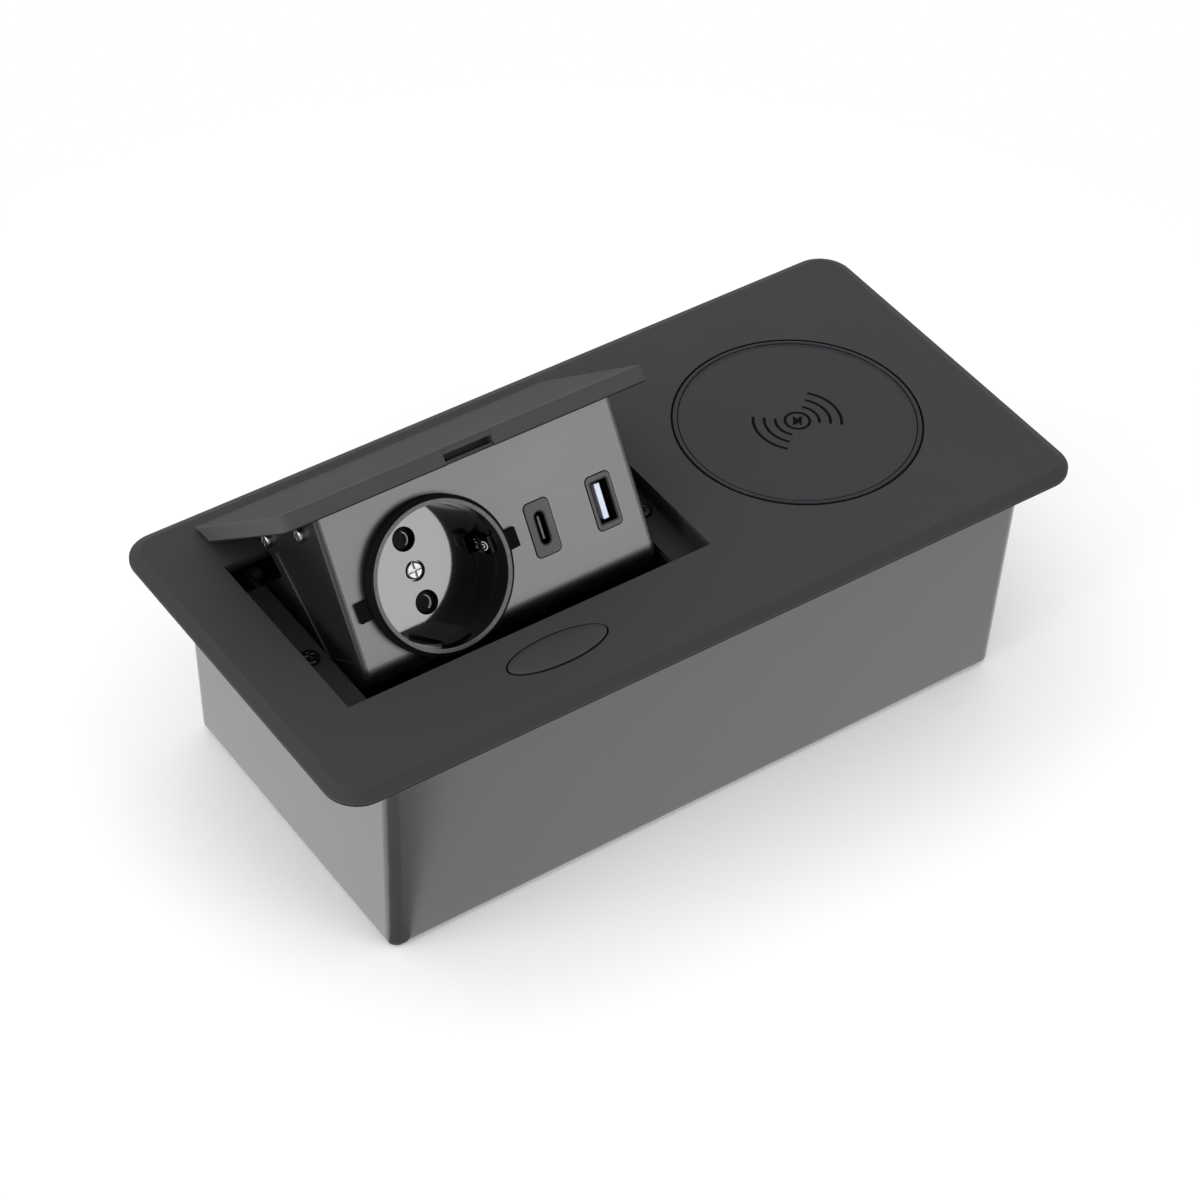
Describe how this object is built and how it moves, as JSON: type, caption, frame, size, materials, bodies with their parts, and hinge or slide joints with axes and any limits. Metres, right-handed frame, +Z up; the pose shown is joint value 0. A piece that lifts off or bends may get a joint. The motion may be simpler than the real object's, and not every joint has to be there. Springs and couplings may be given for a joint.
{
  "type": "in-desk power module",
  "caption": "Flush frame plate over a drafted box, with a charging pad, a release button and a lidded module that swings up to show an earthed socket and USB ports.",
  "frame": {"origin": "centre of the box's underside, under the centre of the frame plate", "axes": "+X along the plate towards the charging pad, +Y away from the release button, +Z up out of the desk"},
  "size_m": [0.248, 0.121, 0.1163],
  "materials": {
    "plate_matte": "fine matte anthracite",
    "box_satin": "satin grey moulding",
    "button_matte": "fine matte anthracite",
    "module_dark": "satin black moulding",
    "panel_brushed": "brushed and dark tinted, brushed across",
    "socket_gloss": "polished black",
    "socket_back_black": "plain black",
    "bracket_steel": "plain sheet steel",
    "screw_steel": "zinc plated",
    "spring_steel": "spring steel",
    "contact_brass": "plain brass",
    "bezel_grey": "fine grained grey",
    "port_steel": "drawn steel",
    "tongue_pale": "bluish white",
    "tongue_black": "plain black",
    "board_green": "solder mask",
    "coil_copper": "lacquered copper",
    "ferrite_grey": "sintered",
    "pad_matte": "fine matte anthracite",
    "ring_gloss": "glossy, slightly blue",
    "rubber_black": "plain rubber",
    "guide_nylon": "moulded nylon",
    "terminal_grey": "moulded"
  },
  "bodies": {
    "housing": {"top_plate": "plate_matte", "box_housing": "box_satin", "pivot_bracket_left": "bracket_steel", "pivot_bracket_right": "bracket_steel", "pivot_shaft": "bracket_steel", "shaft_clips": "bracket_steel", "ledge_screws": "screw_steel", "cover_screws": "screw_steel", "latch_screws": "screw_steel", "button_spring": "spring_steel", "charger_board": "board_green", "supply_board": "board_green", "charger_coil": "coil_copper", "charger_ferrite": "ferrite_grey", "charger_cover": "pad_matte", "charger_ring": "ring_gloss", "cable_grommet": "rubber_black", "stop_buffers": "rubber_black", "latch_frame": "guide_nylon", "terminal_block": "terminal_grey"},
    "module": {"lid": "plate_matte", "lid_screws": "screw_steel", "lid_striker": "bracket_steel", "module_shell": "module_dark", "front_panel": "panel_brushed", "back_cover": "module_dark", "socket_insert": "socket_gloss", "socket_back": "socket_back_black", "contact_sleeves": "contact_brass", "earth_clips": "spring_steel", "centre_screw": "screw_steel", "usb_c_bezel": "bezel_grey", "usb_c_shell": "port_steel", "usb_c_tongue": "tongue_black", "usb_a_bezel": "bezel_grey", "usb_a_shell": "port_steel", "usb_a_tongue": "tongue_pale", "usb_board": "board_green", "lift_spring": "spring_steel"},
    "button": {"button": "button_matte"},
    "catch": {"catch_plate": "bracket_steel"}
  },
  "joints": [
    {"name": "module_flip", "type": "hinge", "parent": "housing", "child": "module", "pos_m": [-0.04435, 0.04524, 0.04923], "axis": [1, 0, 0], "range_deg": [0, 40], "stiffness_Nm_per_rad": 0.06, "springref_deg": -126.05},
    {"name": "button_press", "type": "slide", "parent": "housing", "child": "button", "axis": [0, 0, -1], "range_m": [0, 0.002], "stiffness_N_per_m": 600, "springref_m": -0.003, "deforming": ["button_spring"]},
    {"name": "catch_slide", "type": "slide", "parent": "housing", "child": "catch", "axis": [0, -1, 0], "range_m": [0, 0.002]}
  ],
  "couplings": [
    {"joint": "catch_slide", "follows": "button_press", "ratio": 1}
  ]
}
